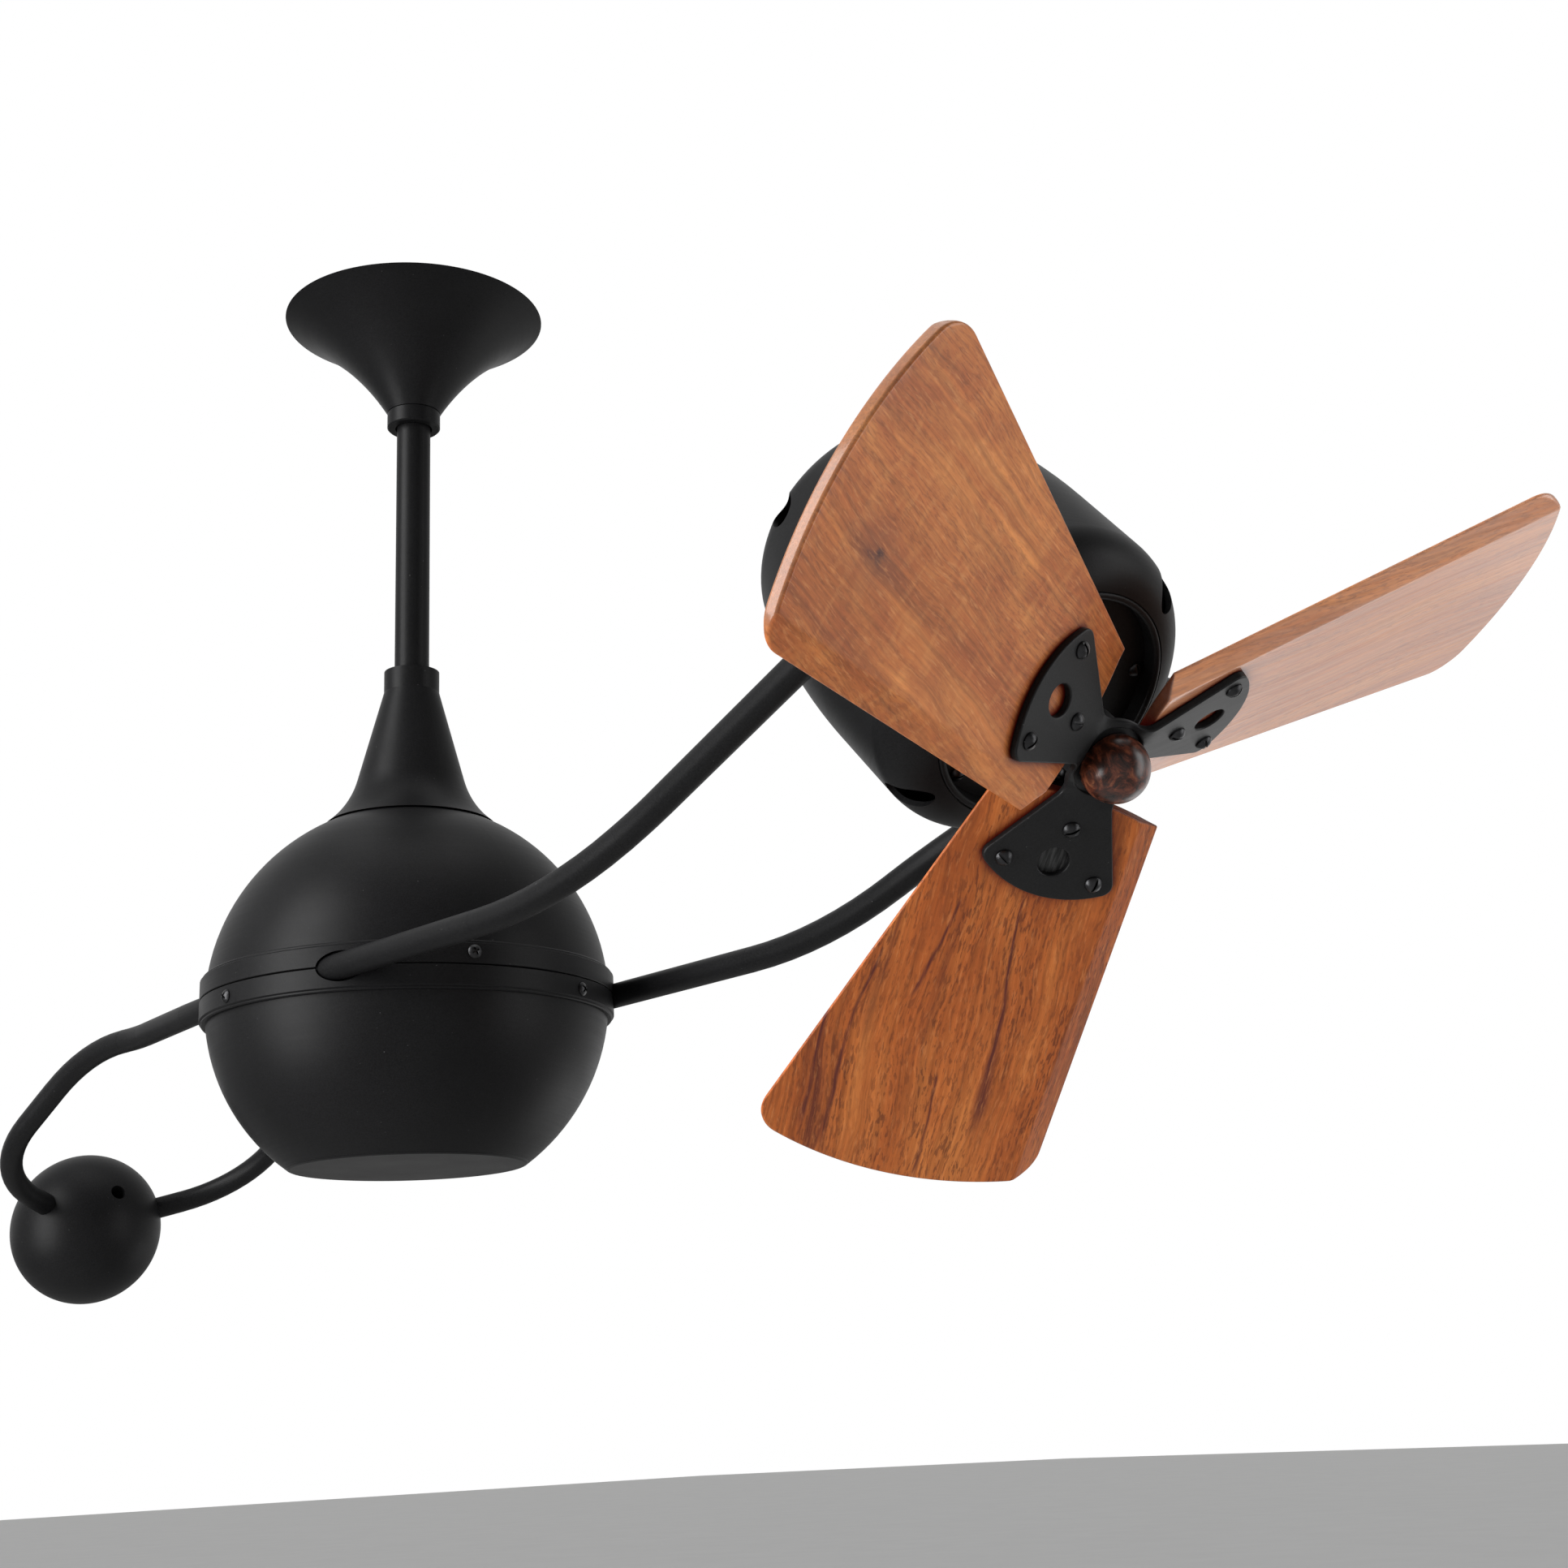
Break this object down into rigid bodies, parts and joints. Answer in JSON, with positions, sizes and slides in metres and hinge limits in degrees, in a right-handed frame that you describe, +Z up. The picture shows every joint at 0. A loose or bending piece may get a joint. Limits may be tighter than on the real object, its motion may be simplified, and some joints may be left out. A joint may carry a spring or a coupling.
{
  "type": "counterbalanced turning ceiling fan",
  "caption": "Ceiling fan with a tilting bladed motor head that circles under a ball shaped hub on bent twin tubes, balanced by a ball weight.",
  "frame": {"origin": "centre of the ceiling face, on the rod's axis, midway between the two ceiling holes", "axes": "+Z up into the ceiling; +X from the rod towards the motor head at rest; +Y completes the frame"},
  "size_m": [0.9472, 0.372, 0.4906],
  "materials": {
    "black_coat": "matte black powder coat",
    "inner_coat": "dark grey primer",
    "ball_coat": "cast ball with matte black powder coat",
    "dark_steel": "blackened steel",
    "bright_steel": "machined steel",
    "copper": "copper",
    "moulding": "moulded plastic",
    "carbon": "pressed carbon",
    "blade_wood": "satin lacquered reddish brown wood",
    "knob_wood": "polished dark burl"
  },
  "bodies": {
    "ceiling_mount": {"ceiling_plate": "inner_coat", "canopy": "black_coat", "canopy_collar": "black_coat", "collar_screw": "dark_steel", "downrod": "black_coat", "hanger_pin": "bright_steel", "neck": "black_coat", "neck_screw": "dark_steel", "spindle": "bright_steel", "spindle_pin": "bright_steel", "upper_bearing_inner": "bright_steel", "lower_bearing_inner": "bright_steel", "spindle_washer": "bright_steel", "spindle_nut": "bright_steel", "slip_drum": "moulding", "slip_rings": "copper"},
    "carousel": {"carrier": "inner_coat", "upper_bearing_outer": "bright_steel", "lower_bearing_outer": "bright_steel", "bearing_balls": "bright_steel", "crossbar": "inner_coat", "arm_clamps": "inner_coat", "clamp_screws": "bright_steel", "flange_screws": "bright_steel", "support_ring": "inner_coat", "globe_upper": "black_coat", "globe_lower": "black_coat", "band_screws": "dark_steel", "arm_left": "black_coat", "arm_right": "black_coat", "counterweight": "ball_coat", "counterweight_screw": "dark_steel", "brush_holder": "moulding", "brushes": "carbon", "holder_screws": "bright_steel", "run_capacitor": "moulding", "capacitor_strap": "bright_steel"},
    "head": {"motor_front_shell": "black_coat", "motor_rear_shell": "black_coat", "front_cover": "black_coat", "cover_screws": "dark_steel", "housing_screws": "dark_steel", "stator_core": "bright_steel", "stator_windings": "copper", "head_bearing_outer": "bright_steel", "head_bearing_balls": "bright_steel", "pivot_bolts": "dark_steel", "pivot_spacers": "dark_steel"},
    "rotor": {"motor_shaft": "bright_steel", "rotor_core": "bright_steel", "head_bearing_inner": "bright_steel", "spider": "black_coat", "blade_1": "blade_wood", "blade_2": "blade_wood", "blade_3": "blade_wood", "blade_screws": "dark_steel", "hub_nut": "bright_steel", "spinner": "knob_wood"}
  },
  "joints": [
    {"name": "carousel_turn", "type": "hinge", "parent": "ceiling_mount", "child": "carousel", "pos_m": [0, 0, -0.3704], "axis": [0, 0, 1], "continuous": true},
    {"name": "head_tilt", "type": "hinge", "parent": "carousel", "child": "head", "pos_m": [0.4042, 0, -0.3085], "axis": [0, 1, 0], "range_deg": [-138, 30]},
    {"name": "rotor_spin", "type": "hinge", "parent": "head", "child": "rotor", "pos_m": [0.4042, 0, -0.3085], "axis": [0.6613, 0, -0.7501], "continuous": true}
  ]
}
